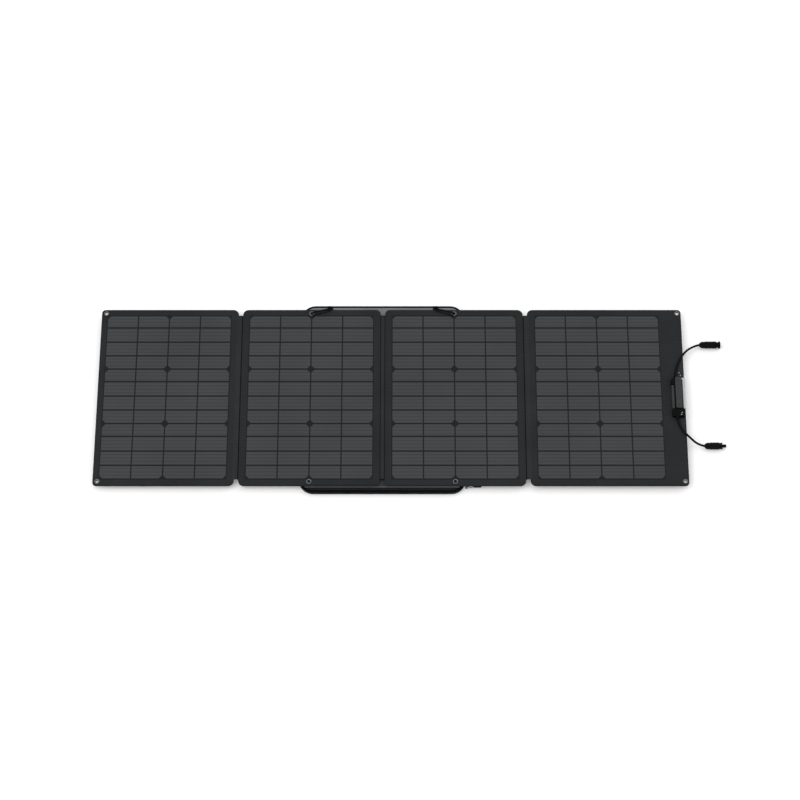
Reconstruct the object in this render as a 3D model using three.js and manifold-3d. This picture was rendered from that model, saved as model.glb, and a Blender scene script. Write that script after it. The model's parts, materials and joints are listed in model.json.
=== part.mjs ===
// Folding solar blanket: four hinged panels lying on their carrying case, which doubles as a stand.
// Millimetres, +Z up. X runs along the blanket, +Y is the far edge where the hooks are.
// The origin is on the ground below the centre of the whole object, cables left out.
import * as THREE from 'three';
import { mergeVertices } from 'three/addons/utils/BufferGeometryUtils.js';
import Module from 'manifold-3d';

const wasm = await Module();
wasm.setup();

// ---- driving dimensions ----
const CELL = 162; // pitch of the square cells
const CELL_COLUMNS = 2;
const CELL_ROWS = 3;
const PANEL_DEPTH = 522; // along Y
const MIDDLE_X = -23.1; // the middle fold, off centre because the right panel is the widest
const OUTER_STRIP = 10.4; // width of the two outer fold strips
const MIDDLE_STRIP = 12;
const STRIP_SETBACK = 17.5; // a fold strip stops this far short of the panels' edges
const FOLD_SPACING = 371.1; // from the middle fold to the centre of each outer strip
const LEFT_EDGE = -735; // ends of the blanket, from the middle fold
const RIGHT_EDGE = 779.2;
const CELL_CENTRES = [-557.7, -186, 186, 557.9]; // each panel's cell area, from the middle fold
const OUTER_CORNER = 10; // corner radii
const OUTER_FOLD_CORNER = 15;
const MIDDLE_FOLD_CORNER = 12;
const LAMINATE_RIM = 0.6; // clear edge of the laminate around the cells
const HINGE_GAP = 0.3; // between a panel's edge and its fold strip

const CASE_WIDTH = 422;
const CASE_DEPTH = 552;
const CASE_CORNER = 36;
const BINDING_WIDTH = 5;

// heights, from the ground up
const LAYER_GAP = 0.2;
const LEG_PAD = [0, 6.6];
const LEG_BINDING = [6.8, 7.6];
const ZIP_LAYER = [7.8, 8.4];
const UPPER_PAD = [8.8, 15];
const LINING = [15.2, 15.8];
const UPPER_BINDING = [15.2, 16];
const BACK_COVER = [16.4, 17.2];
const BOARD = [17.4, 20.4];
const LAMINATE = [20.6, 21.8];
const BORDER = [20.6, 21.6];

const GROMMET_HOLE = 4;
const GROMMET_TUBE = 4.8; // outer radius of the tube through the layers
const GROMMET_FLANGE = 6.6;
const GROMMET_CORNER_X = 746.2;
const GROMMET_CORNER_Y = 249.5;
const GROMMET_MIDDLE_X = 186; // either side of the middle fold

const CABLE_RADIUS = 2.8;
const CONNECTOR_RADIUS = 9.2;

const MATERIAL = {
  fabric: { color: 0x2f3134, roughness: 0.9 },
  backFabric: { color: 0x1c1d1f, roughness: 0.95 },
  laminate: { color: 0x3c3e42, roughness: 0.45 },
  board: { color: 0x6a6a66, roughness: 0.8 },
  steel: { color: 0xb8babd, roughness: 0.35, metalness: 1 },
  blackPlastic: { color: 0x141516, roughness: 0.55 },
  greyPlastic: { color: 0x444649, roughness: 0.6 },
  lightRubber: { color: 0xc9cbcb, roughness: 0.7 },
  circuitBoard: { color: 0x1f4a2e, roughness: 0.6 },
  casePad: { color: 0x18191a, roughness: 0.95 },
  lining: { color: 0x77797b, roughness: 0.95 },
  webbing: { color: 0x101112, roughness: 0.9 },
};

const blanket = new THREE.Group();

// ---- geometry helpers ----
function toSolid(geometry) {
  const bare = geometry.clone();
  for (const name of Object.keys(bare.attributes)) {
    if (name !== 'position') bare.deleteAttribute(name);
  }
  const merged = mergeVertices(bare, 1e-4);
  const mesh = new wasm.Mesh({
    numProp: 3,
    vertProperties: new Float32Array(merged.attributes.position.array),
    triVerts: new Uint32Array(merged.index.array),
  });
  return new wasm.Manifold(mesh);
}

function toGeometry(solid) {
  const mesh = solid.getMesh();
  const geometry = new THREE.BufferGeometry();
  geometry.setAttribute('position', new THREE.BufferAttribute(mesh.vertProperties, 3));
  geometry.setIndex(new THREE.BufferAttribute(mesh.triVerts, 1));
  return geometry;
}

function cut(geometry, ...tools) {
  return toGeometry(tools.reduce((rest, tool) => rest.subtract(toSolid(tool)), toSolid(geometry)));
}

function join(...geometries) {
  return toGeometry(geometries.map(toSolid).reduce((whole, next) => whole.add(next)));
}

function add(name, geometry, material) {
  const flat = geometry.index ? geometry.toNonIndexed() : geometry;
  flat.computeVertexNormals();
  const mesh = new THREE.Mesh(flat, new THREE.MeshStandardMaterial(MATERIAL[material]));
  mesh.name = name;
  blanket.add(mesh);
}

// A rectangle with its own radius at each corner, counterclockwise from the near left one.
function outline(x0, x1, y0, y1, [nearLeft, nearRight, farRight, farLeft]) {
  const shape = new THREE.Shape();
  shape.moveTo(x0 + nearLeft, y0);
  shape.lineTo(x1 - nearRight, y0);
  shape.absarc(x1 - nearRight, y0 + nearRight, nearRight, -Math.PI / 2, 0, false);
  shape.lineTo(x1, y1 - farRight);
  shape.absarc(x1 - farRight, y1 - farRight, farRight, 0, Math.PI / 2, false);
  shape.lineTo(x0 + farLeft, y1);
  shape.absarc(x0 + farLeft, y1 - farLeft, farLeft, Math.PI / 2, Math.PI, false);
  shape.lineTo(x0, y0 + nearLeft);
  shape.absarc(x0 + nearLeft, y0 + nearLeft, nearLeft, Math.PI, 1.5 * Math.PI, false);
  return shape;
}

function evenCorners(radius) {
  return [radius, radius, radius, radius];
}

function slab(shape, [bottom, top], segments = 4) {
  const geometry = new THREE.ExtrudeGeometry(shape, {
    depth: top - bottom,
    bevelEnabled: false,
    curveSegments: segments,
  });
  return geometry.translate(0, 0, bottom);
}

function box(x0, x1, y0, y1, z0, z1) {
  const geometry = new THREE.BoxGeometry(x1 - x0, y1 - y0, z1 - z0);
  return geometry.translate((x0 + x1) / 2, (y0 + y1) / 2, (z0 + z1) / 2);
}

function upright(x, y, radius, [bottom, top], sides = 14) {
  const geometry = new THREE.CylinderGeometry(radius, radius, top - bottom, sides);
  return geometry.rotateX(Math.PI / 2).translate(x, y, (bottom + top) / 2);
}

// A turned body from a closed profile of [radius, height] points, standing on +Z.
function turned(profile, sides) {
  const points = profile.map(([r, h]) => new THREE.Vector2(r, h));
  return new THREE.LatheGeometry(points, sides).rotateX(Math.PI / 2);
}

function tube(points, radius, sides, steps) {
  const path = new THREE.CatmullRomCurve3(points.map(([x, y, z]) => new THREE.Vector3(x, y, z)));
  const section = new THREE.Shape();
  for (let i = 0; i < sides; i += 1) {
    const angle = (2 * Math.PI * i) / sides;
    const corner = [radius * Math.cos(angle), radius * Math.sin(angle)];
    if (i === 0) section.moveTo(...corner);
    else section.lineTo(...corner);
  }
  section.closePath();
  return new THREE.ExtrudeGeometry(section, { steps, extrudePath: path, bevelEnabled: false });
}

// ---- panels ----
const farEdge = PANEL_DEPTH / 2;
const outerFoldInset = OUTER_STRIP / 2 + HINGE_GAP;
const middleFoldInset = MIDDLE_STRIP / 2 + HINGE_GAP;
const panelEdges = [
  [LEFT_EDGE, -FOLD_SPACING - outerFoldInset],
  [-FOLD_SPACING + outerFoldInset, -middleFoldInset],
  [middleFoldInset, FOLD_SPACING - outerFoldInset],
  [FOLD_SPACING + outerFoldInset, RIGHT_EDGE],
].map(([left, right]) => [MIDDLE_X + left, MIDDLE_X + right]);
const panelCorners = [
  [OUTER_CORNER, OUTER_FOLD_CORNER, OUTER_FOLD_CORNER, OUTER_CORNER],
  [OUTER_FOLD_CORNER, MIDDLE_FOLD_CORNER, MIDDLE_FOLD_CORNER, OUTER_FOLD_CORNER],
  [MIDDLE_FOLD_CORNER, OUTER_FOLD_CORNER, OUTER_FOLD_CORNER, MIDDLE_FOLD_CORNER],
  [OUTER_FOLD_CORNER, OUTER_CORNER, OUTER_CORNER, OUTER_FOLD_CORNER],
];
const grommets = [
  { panel: 1, side: 'far', x: -GROMMET_CORNER_X, y: GROMMET_CORNER_Y },
  { panel: 1, side: 'near', x: -GROMMET_CORNER_X, y: -GROMMET_CORNER_Y },
  { panel: 2, side: 'far', x: MIDDLE_X - GROMMET_MIDDLE_X, y: GROMMET_CORNER_Y },
  { panel: 2, side: 'near', x: MIDDLE_X - GROMMET_MIDDLE_X, y: -GROMMET_CORNER_Y },
  { panel: 3, side: 'far', x: MIDDLE_X + GROMMET_MIDDLE_X, y: GROMMET_CORNER_Y },
  { panel: 3, side: 'near', x: MIDDLE_X + GROMMET_MIDDLE_X, y: -GROMMET_CORNER_Y },
  { panel: 4, side: 'far', x: GROMMET_CORNER_X, y: GROMMET_CORNER_Y },
  { panel: 4, side: 'near', x: GROMMET_CORNER_X, y: -GROMMET_CORNER_Y },
];

function makePanel(index) {
  const number = index + 1;
  const [left, right] = panelEdges[index];
  const shape = outline(left, right, -farEdge, farEdge, panelCorners[index]);
  const holes = grommets.filter((grommet) => grommet.panel === number);
  const drills = (radius) => holes.map(({ x, y }) => upright(x, y, radius, [0, 40]));

  const centre = MIDDLE_X + CELL_CENTRES[index];
  const halfWidth = (CELL * CELL_COLUMNS) / 2 + LAMINATE_RIM;
  const halfDepth = (CELL * CELL_ROWS) / 2 + LAMINATE_RIM;
  const [x0, x1] = [centre - halfWidth, centre + halfWidth];
  const laminate = outline(x0, x1, -halfDepth, halfDepth, evenCorners(2));
  const windowEdge = LAYER_GAP;
  const opening = outline(
    x0 - windowEdge, x1 + windowEdge, -halfDepth - windowEdge, halfDepth + windowEdge, evenCorners(2),
  );

  const cover = cut(slab(shape, BACK_COVER), ...drills(GROMMET_FLANGE + 0.3));
  const board = cut(slab(shape, BOARD), ...drills(GROMMET_TUBE + 0.3));
  const border = cut(slab(shape, BORDER), slab(opening, [0, 40]), ...drills(GROMMET_TUBE + 0.3));
  add(`panel_${number}_back_cover`, cover, 'backFabric');
  add(`panel_${number}_board`, board, 'board');
  add(`panel_${number}_front_border`, border, 'fabric');
  add(`panel_${number}_laminate`, slab(laminate, LAMINATE), 'laminate');
}

// One crimped eyelet: a tube through the layers with a flange above and below.
function makeGrommet({ panel, side, x, y }) {
  const foot = BACK_COVER[0] + 0.1;
  const footTop = BACK_COVER[1] - 0.1;
  const head = LAMINATE[1] + LAYER_GAP;
  const headTop = head + 0.8;
  const profile = [
    [GROMMET_HOLE, foot],
    [GROMMET_FLANGE, foot],
    [GROMMET_FLANGE, footTop],
    [GROMMET_TUBE, footTop],
    [GROMMET_TUBE, head],
    [GROMMET_FLANGE, head],
    [GROMMET_FLANGE, headTop - 0.3],
    [GROMMET_FLANGE - 0.5, headTop],
    [GROMMET_HOLE + 0.3, headTop],
    [GROMMET_HOLE, headTop - 0.3],
    [GROMMET_HOLE, foot],
  ];
  const ring = turned(profile, 14).translate(x, y, 0);
  add(`grommet_${panel}_${side}`, ring, 'steel');
}

function makeFoldStrip(number, centre, width) {
  const reach = farEdge - STRIP_SETBACK;
  const half = width / 2;
  const x = MIDDLE_X + centre;
  add(
    `fold_strip_${number}`,
    box(x - half, x + half, -reach, reach, BORDER[0] - 1, BORDER[1]),
    'fabric',
  );
}

// ---- junction box on the right panel ----
const BOX_LEFT = 732;
const BOX_RIGHT = 748;
const BOX_NEAR = -40;
const BOX_FAR = 51;
const CLAMP_NEAR = -63.6;
const BOX_SEAT = BORDER[1] + LAYER_GAP;
const BOX_SPLIT = 27;
const BOX_TOP = 33;
const BOX_WALL = 1.6;

function makeJunctionBox() {
  const body = outline(BOX_LEFT, BOX_RIGHT, BOX_NEAR, BOX_FAR, evenCorners(3));
  const inside = outline(
    BOX_LEFT + BOX_WALL, BOX_RIGHT - BOX_WALL, BOX_NEAR + BOX_WALL, BOX_FAR - BOX_WALL, evenCorners(1.5),
  );
  const floor = BOX_SEAT + BOX_WALL;
  const roof = BOX_TOP - BOX_WALL;
  const base = cut(slab(body, [BOX_SEAT, BOX_SPLIT]), slab(inside, [floor, BOX_TOP + 1]));
  const screwX = (BOX_LEFT + BOX_RIGHT) / 2;
  const screwYs = [BOX_NEAR + 9, BOX_FAR - 9];
  const screwHoles = screwYs.map((y) => upright(screwX, y, 1.8, [30, 40]));
  const lid = cut(slab(body, [BOX_SPLIT + LAYER_GAP, BOX_TOP]), slab(inside, [20, roof]), ...screwHoles);
  add('junction_box_base', base, 'blackPlastic');
  add('junction_box_lid', lid, 'greyPlastic');

  const boardSeat = floor + 0.3;
  const diodeBoard = box(
    BOX_LEFT + 2.5, BOX_RIGHT - 2.5, BOX_NEAR + 14, BOX_FAR - 14, boardSeat, boardSeat + 1.6,
  );
  const diodes = [-14, 5, 24].map((y) => box(736, 744, y - 4, y + 4, floor + 1.4, floor + 5.4));
  add('junction_box_diode_board', join(diodeBoard, ...diodes), 'circuitBoard');
  screwYs.forEach((y, i) => {
    const screw = join(upright(screwX, y, 1.4, [24.5, 33.2]), upright(screwX, y, 3, [33.2, 34.4]));
    add(`lid_screw_${i + 1}`, screw, 'steel');
  });

  const rib = outline(722, 731.4, -39, 30, evenCorners(2));
  add('junction_box_side_rib', slab(rib, [BOX_SEAT, 28.5]), 'greyPlastic');
  const endPiece = outline(721, 731.4, 30.6, 47, evenCorners(3));
  add('junction_box_end_piece', slab(endPiece, [BOX_SEAT, 31.5]), 'blackPlastic');
  const clamp = outline(720.6, 755, CLAMP_NEAR, -40.6, evenCorners(4));
  add('cable_clamp', slab(clamp, [BOX_SEAT, 31.5]), 'blackPlastic');
  const guard = outline(749, 758.1, -39.6, 53, evenCorners(2));
  add('edge_guard', slab(guard, [BOX_SEAT, 25.6]), 'lightRubber');
}

// ---- cables and connectors, lying from the panel down to the ground ----
const CONNECTOR_Z = CONNECTOR_RADIUS + 0.2;
const UPPER_ROUTE = [
  [733.5, 53, 26.8],
  [733.8, 63, 26.7],
  [735, 73, 26.1],
  [738, 84, 25.4],
  [742.6, 97, 25],
  [748.5, 109.5, 24.9],
  [756, 122, 24.9],
  [765.5, 134.5, 22.6],
  [775, 144.5, 18.4],
  [785.5, 153, 13.4],
  [796, 159, 10.2],
  [803, 161, CONNECTOR_Z],
  [807, 161, CONNECTOR_Z],
];
const LOWER_ROUTE = [
  [734.5, -65.6, 26.8],
  [734.9, -73, 26.7],
  [736.3, -80, 25.9],
  [739, -88, 25.2],
  [744, -99, 24.9],
  [750.5, -109.5, 24.9],
  [759.5, -119.4, 24.8],
  [769, -126.6, 20],
  [778.5, -132, 13.6],
  [790, -137, 10.4],
  [800, -139.6, CONNECTOR_Z],
  [806.5, -140, CONNECTOR_Z],
];
const GLAND_PROFILE = [
  [CABLE_RADIUS + 0.3, 0],
  [4.6, 0],
  [4.6, 4],
  [3.6, 8],
  [CABLE_RADIUS + 0.3, 8],
  [CABLE_RADIUS + 0.3, 0],
];
// connector profiles start at the cable end; each is a closed ring or a solid on the axis
const NUT_PROFILE = [
  [CABLE_RADIUS + 0.8, 0],
  [5.4, 0],
  [8.4, 5],
  [8.4, 13],
  [CABLE_RADIUS + 0.8, 13],
  [CABLE_RADIUS + 0.8, 0],
];

function alongX(geometry, x, y, z) {
  return geometry.rotateY(Math.PI / 2).translate(x, y, z);
}

// end is +1 for the cable that leaves towards +Y, and -1 for the other; seat is where its gland starts
function makeCable(name, route, end, seat) {
  add(`cable_${name}`, tube(route, CABLE_RADIUS, 8, 26), 'blackPlastic');
  const [x, , z] = route[0];
  const gland = turned(GLAND_PROFILE, 16).rotateX(end * -Math.PI / 2);
  add(`cable_gland_${name}`, gland.translate(x, seat, z), 'blackPlastic');
}

function makeConnectors() {
  const [upperX, upperY, z] = UPPER_ROUTE[UPPER_ROUTE.length - 1];
  const start = upperX + 0.3;
  const upperNut = turned(NUT_PROFILE, 16);
  add('connector_upper_nut', alongX(upperNut, upperX - 5, upperY, z), 'blackPlastic');
  const socket = [[0, 8.3], [8.8, 8.3], [9.2, 10], [9.2, 39], [7.4, 40.5], [7.4, 42.3], [9.2, 42.3],
    [9.2, 48.6], [5.2, 48.6], [5.2, 30], [0, 30]];
  add('connector_upper_socket', alongX(turned(socket, 18), start, upperY, z), 'blackPlastic');

  const [lowerX, lowerY] = LOWER_ROUTE[LOWER_ROUTE.length - 1];
  const lowerStart = lowerX + 0.3;
  const lowerNut = turned(NUT_PROFILE, 16);
  add('connector_lower_nut', alongX(lowerNut, lowerX - 5, lowerY, z), 'blackPlastic');
  const plug = [[0, 8.3], [8.8, 8.3], [9.2, 10], [9.2, 31], [4.2, 31], [4.2, 48], [3.4, 49.2], [0, 49.2]];
  const body = alongX(turned(plug, 18), lowerStart, lowerY, z);
  const prongs = [1, -1].map((side) => {
    const [inner, outer] = [5.4, 8.2];
    const low = lowerY + Math.min(side * inner, side * outer);
    return box(lowerStart + 30, lowerStart + 40, low, low + outer - inner, z - 2.4, z + 2.4);
  });
  add('connector_lower_plug', join(body, ...prongs), 'blackPlastic');
}

// ---- carrying case ----
function caseOutline(inset) {
  const halfWidth = CASE_WIDTH / 2 - inset;
  const halfDepth = CASE_DEPTH / 2 - inset;
  return outline(
    MIDDLE_X - halfWidth, MIDDLE_X + halfWidth, -halfDepth, halfDepth, evenCorners(CASE_CORNER - inset),
  );
}

function caseRing(width, heights) {
  const [low, high] = heights;
  return cut(slab(caseOutline(0), heights, 6), slab(caseOutline(width), [low - 1, high + 1], 6));
}

const SPINE_FAR = CASE_DEPTH / 2;
const SPINE_WIDTH = 14;
const SPINE_HALF_LENGTH = 170;
const ZIP_TAPE_WIDTH = 8;
const ZIP_TAPE_END = 236;

function makeCase() {
  add('case_leg_pad', slab(caseOutline(0), LEG_PAD, 6), 'casePad');
  add('case_leg_binding', caseRing(BINDING_WIDTH, LEG_BINDING), 'webbing');
  add('case_upper_pad', slab(caseOutline(0), UPPER_PAD, 6), 'casePad');
  add('case_upper_binding', caseRing(BINDING_WIDTH, UPPER_BINDING), 'webbing');
  add('case_lining', slab(caseOutline(BINDING_WIDTH + 0.3), LINING, 6), 'lining');
  const spineX = [MIDDLE_X - SPINE_HALF_LENGTH, MIDDLE_X + SPINE_HALF_LENGTH];
  add('case_spine', box(...spineX, SPINE_FAR - SPINE_WIDTH, SPINE_FAR, ...ZIP_LAYER), 'webbing');

  // the zip tape runs round three sides and stops before the spine
  const farSide = box(-400, 400, ZIP_TAPE_END, 400, 0, 20);
  add('zip_tape', cut(caseRing(ZIP_TAPE_WIDTH, ZIP_LAYER), farSide), 'webbing');
}

function makeZipPull() {
  const x = MIDDLE_X + CASE_WIDTH / 2 + 0.4;
  const y = -255;
  const z = 8.2;
  const body = outline(x, x + 5.6, y - 7, y + 7, evenCorners(1.5));
  add('zip_slider', slab(body, [z - 3.4, z + 3.4]), 'steel');

  const [wire, tabX, tabY] = [0.9, x + 20.5, y - 1.5];
  const ring = new THREE.TorusGeometry(5, wire, 6, 14).scale(1.2, 0.64, 1).translate(x + 13.2, tabY, z);
  add('zip_pull_ring', ring, 'steel');
  const tab = outline(tabX, tabX + 20, tabY - 3.2, tabY + 3.2, evenCorners(2));
  add('zip_pull_tab', slab(tab, [z - 1.2, z + 1.2]), 'webbing');
}

// ---- hooks through the two far middle grommets ----
const HOOK_WIRE = 1.6; // radius
const HOOK_Z = 24.9;
const HOOK_REACH = 50; // from the grommet to the eye, towards the middle
const HOOK_RISE = 13; // the eye is this much farther out than the grommet
const GATE_OFFSET = 8.4;

// inward is +1 for the left hook and -1 for the right one, both pointing at the middle
function makeHook(side, inward) {
  const x = MIDDLE_X - inward * GROMMET_MIDDLE_X;
  const y = GROMMET_CORNER_Y;
  const place = (along, out, z) => [x + inward * along, y + out, z];
  const shank = tube(
    [
      place(0, 0, 17.6),
      place(0, 0, 21),
      place(1, 0.5, 24),
      place(5, 2.2, HOOK_Z),
      place(24, 7.4, HOOK_Z),
      place(HOOK_REACH - 7, HOOK_RISE - 1, HOOK_Z),
    ],
    HOOK_WIRE, 6, 14,
  );
  const eyeRing = new THREE.TorusGeometry(5, HOOK_WIRE, 6, 12);
  const eye = eyeRing.translate(...place(HOOK_REACH - 3, HOOK_RISE + 1.4, HOOK_Z));
  const hingeArm = tube(
    [place(HOOK_REACH - 2, HOOK_RISE - 4, HOOK_Z), place(HOOK_REACH - 4.4, HOOK_RISE - 6.2, HOOK_Z),
      place(HOOK_REACH - 7.2, HOOK_RISE - 8, HOOK_Z)],
    HOOK_WIRE, 6, 3,
  );
  add(`hook_${side}`, join(shank, eye, hingeArm), 'blackPlastic');

  // the gate closes the hook on its near side, and is hinged beside the eye
  const gate = tube(
    [[2, 15.4], [22, 9.8], [41, 4.2]].map(([along, inset]) => place(along, GATE_OFFSET - inset, HOOK_Z)),
    1.2, 6, 4,
  );
  add(`hook_gate_${side}`, gate, 'steel');

  // the webbing strap comes up from the case's far edge and ends below the eye
  const strapX = [place(HOOK_REACH - 9, 0, 0)[0], place(HOOK_REACH + 5, 0, 0)[0]].sort((a, b) => a - b);
  add(`hook_strap_${side}`, box(...strapX, farEdge + 1, CASE_DEPTH / 2 - 1, 16.4, 17.8), 'webbing');
}

// ---- the whole object ----
panelEdges.forEach((edges, index) => makePanel(index));
grommets.forEach(makeGrommet);
makeFoldStrip(1, -FOLD_SPACING, OUTER_STRIP);
makeFoldStrip(2, 0, MIDDLE_STRIP);
makeFoldStrip(3, FOLD_SPACING, OUTER_STRIP);
makeJunctionBox();
makeCable('upper', UPPER_ROUTE, 1, BOX_FAR + 0.3);
makeCable('lower', LOWER_ROUTE, -1, CLAMP_NEAR - 0.3);
makeConnectors();
makeCase();
makeZipPull();
makeHook('left', 1);
makeHook('right', -1);

export default blanket;
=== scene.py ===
"""The looks of a folding solar blanket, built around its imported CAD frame. Metres, +Z up."""
import json
import math

import bmesh
import bpy
from mathutils import Matrix, Vector
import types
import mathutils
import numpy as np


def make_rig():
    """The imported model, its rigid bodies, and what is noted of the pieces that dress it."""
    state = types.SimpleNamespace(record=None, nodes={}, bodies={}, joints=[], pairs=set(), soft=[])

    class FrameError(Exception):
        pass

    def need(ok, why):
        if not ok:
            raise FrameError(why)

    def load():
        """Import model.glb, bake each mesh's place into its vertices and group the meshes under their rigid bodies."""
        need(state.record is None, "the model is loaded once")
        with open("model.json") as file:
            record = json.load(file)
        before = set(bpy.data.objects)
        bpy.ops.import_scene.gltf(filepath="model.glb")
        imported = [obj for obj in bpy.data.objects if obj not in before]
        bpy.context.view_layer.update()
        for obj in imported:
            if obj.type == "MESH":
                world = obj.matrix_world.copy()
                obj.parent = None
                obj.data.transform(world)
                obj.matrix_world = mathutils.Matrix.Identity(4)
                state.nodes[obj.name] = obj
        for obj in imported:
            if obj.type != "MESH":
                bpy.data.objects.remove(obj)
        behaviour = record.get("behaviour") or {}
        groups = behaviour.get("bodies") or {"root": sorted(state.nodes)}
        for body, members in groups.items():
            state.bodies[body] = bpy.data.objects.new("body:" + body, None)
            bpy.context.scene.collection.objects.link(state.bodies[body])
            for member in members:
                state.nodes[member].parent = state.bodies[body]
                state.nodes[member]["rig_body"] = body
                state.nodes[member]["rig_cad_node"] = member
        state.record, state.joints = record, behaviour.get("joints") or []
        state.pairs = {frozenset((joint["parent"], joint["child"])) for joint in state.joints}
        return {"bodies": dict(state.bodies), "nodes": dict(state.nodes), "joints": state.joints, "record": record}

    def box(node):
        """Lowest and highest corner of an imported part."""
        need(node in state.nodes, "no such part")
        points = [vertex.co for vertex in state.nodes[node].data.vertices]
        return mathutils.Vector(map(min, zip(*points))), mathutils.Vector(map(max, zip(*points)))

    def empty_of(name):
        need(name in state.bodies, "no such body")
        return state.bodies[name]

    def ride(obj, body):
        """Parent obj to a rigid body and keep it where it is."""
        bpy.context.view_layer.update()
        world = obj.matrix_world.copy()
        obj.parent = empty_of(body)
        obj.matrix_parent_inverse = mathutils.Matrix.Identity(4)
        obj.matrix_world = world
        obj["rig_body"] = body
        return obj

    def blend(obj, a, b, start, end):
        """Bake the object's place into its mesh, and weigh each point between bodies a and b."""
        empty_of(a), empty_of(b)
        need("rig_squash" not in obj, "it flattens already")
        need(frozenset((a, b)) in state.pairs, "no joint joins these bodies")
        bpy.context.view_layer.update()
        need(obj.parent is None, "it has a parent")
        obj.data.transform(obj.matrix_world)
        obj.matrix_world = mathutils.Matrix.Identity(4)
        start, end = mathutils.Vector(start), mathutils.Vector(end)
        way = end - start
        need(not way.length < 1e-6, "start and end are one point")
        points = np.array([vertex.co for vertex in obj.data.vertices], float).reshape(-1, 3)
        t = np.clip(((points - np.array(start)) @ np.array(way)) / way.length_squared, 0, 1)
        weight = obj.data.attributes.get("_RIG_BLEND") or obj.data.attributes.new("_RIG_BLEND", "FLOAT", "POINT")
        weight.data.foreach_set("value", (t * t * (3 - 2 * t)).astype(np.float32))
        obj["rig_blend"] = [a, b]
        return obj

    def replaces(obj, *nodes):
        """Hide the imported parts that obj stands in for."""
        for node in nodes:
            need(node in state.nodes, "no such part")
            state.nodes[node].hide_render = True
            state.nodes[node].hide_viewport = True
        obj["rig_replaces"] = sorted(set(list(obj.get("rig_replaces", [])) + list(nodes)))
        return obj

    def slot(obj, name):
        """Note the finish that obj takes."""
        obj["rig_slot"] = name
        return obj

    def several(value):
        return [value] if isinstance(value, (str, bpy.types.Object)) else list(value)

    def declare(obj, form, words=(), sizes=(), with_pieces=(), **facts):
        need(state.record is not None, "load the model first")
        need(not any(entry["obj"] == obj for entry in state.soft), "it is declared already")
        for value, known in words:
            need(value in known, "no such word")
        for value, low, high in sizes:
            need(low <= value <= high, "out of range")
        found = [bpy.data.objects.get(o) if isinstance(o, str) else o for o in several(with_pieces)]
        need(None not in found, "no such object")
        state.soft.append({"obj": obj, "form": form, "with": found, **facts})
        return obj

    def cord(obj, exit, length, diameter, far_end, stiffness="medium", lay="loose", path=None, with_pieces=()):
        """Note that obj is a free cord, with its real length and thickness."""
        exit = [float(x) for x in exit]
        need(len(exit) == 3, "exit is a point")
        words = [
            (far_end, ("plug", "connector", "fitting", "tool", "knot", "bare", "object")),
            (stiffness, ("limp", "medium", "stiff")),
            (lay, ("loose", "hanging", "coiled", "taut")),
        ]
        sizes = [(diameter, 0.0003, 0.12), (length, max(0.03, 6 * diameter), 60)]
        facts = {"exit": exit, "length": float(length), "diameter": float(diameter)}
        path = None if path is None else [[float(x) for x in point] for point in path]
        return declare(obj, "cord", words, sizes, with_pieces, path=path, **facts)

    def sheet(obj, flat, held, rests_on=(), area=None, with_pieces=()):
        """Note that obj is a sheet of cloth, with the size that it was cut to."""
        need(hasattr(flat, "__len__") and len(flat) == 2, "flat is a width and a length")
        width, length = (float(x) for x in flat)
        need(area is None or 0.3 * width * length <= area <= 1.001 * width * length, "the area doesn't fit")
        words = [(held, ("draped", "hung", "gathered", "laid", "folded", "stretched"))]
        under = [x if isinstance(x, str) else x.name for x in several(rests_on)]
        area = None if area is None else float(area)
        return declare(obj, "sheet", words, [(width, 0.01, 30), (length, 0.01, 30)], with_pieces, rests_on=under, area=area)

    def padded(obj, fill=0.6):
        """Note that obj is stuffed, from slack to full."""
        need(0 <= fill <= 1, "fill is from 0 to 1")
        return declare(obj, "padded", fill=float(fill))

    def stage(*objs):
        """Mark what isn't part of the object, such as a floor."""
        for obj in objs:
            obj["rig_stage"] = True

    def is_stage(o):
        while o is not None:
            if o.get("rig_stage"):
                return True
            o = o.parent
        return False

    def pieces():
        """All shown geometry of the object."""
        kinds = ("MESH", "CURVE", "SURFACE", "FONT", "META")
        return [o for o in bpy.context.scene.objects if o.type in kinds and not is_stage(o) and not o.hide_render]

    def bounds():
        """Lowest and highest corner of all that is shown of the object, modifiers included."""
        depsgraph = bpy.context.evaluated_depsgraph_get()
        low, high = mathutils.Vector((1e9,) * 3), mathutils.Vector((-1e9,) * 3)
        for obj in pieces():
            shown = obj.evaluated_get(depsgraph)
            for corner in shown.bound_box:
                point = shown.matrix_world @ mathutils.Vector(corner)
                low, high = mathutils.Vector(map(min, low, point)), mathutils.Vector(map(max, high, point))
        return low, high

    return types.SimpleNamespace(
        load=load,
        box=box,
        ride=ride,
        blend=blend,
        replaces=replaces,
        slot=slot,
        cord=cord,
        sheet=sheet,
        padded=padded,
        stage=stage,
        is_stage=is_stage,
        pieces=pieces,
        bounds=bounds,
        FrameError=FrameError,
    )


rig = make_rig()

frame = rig.load()
cad_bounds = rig.bounds()

MM = 0.001
PANELS = (1, 2, 3, 4)
OUTER_CORNER = 10 * MM
OUTER_FOLD_CORNER = 15 * MM
MIDDLE_FOLD_CORNER = 12 * MM
CELL = 162 * MM
ROW_SHARES = (0.231, 0.267, 0.256, 0.246)  # heights of a cell's four rows, from its far side
FOLD_CLOTH_WIDTH = 20.3 * MM  # along the section, down and up its crease
CABLE_RADIUS = 2.8 * MM
CONNECTOR_Z = 9.4 * MM
CELL_GAP_X = 3.3 * MM
CELL_GAP_Y = 4.5 * MM
CELL_CLIP = 8 * MM
CELL_BLOCKS = (2, 3)  # columns and rows of square cells on a panel
GROMMET_OPENING = 4.9 * MM  # radius of the hole through the fabric, round the eyelet's tube
LAMINATE_CORNER = 1.5 * MM
CASE_CORNER = 36 * MM
LINING_CORNER = 31 * MM
EDGE_SHADE_LIMIT_Y = -262.5 * MM  # painted shade: the dark strip along the lining's near edge lies nearer than this
LINING_SHADE_LIMIT_Y = -230 * MM  # painted shade: the mid-grey band, the lining as if in shadow, runs from the dark strip's edge to here
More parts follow.
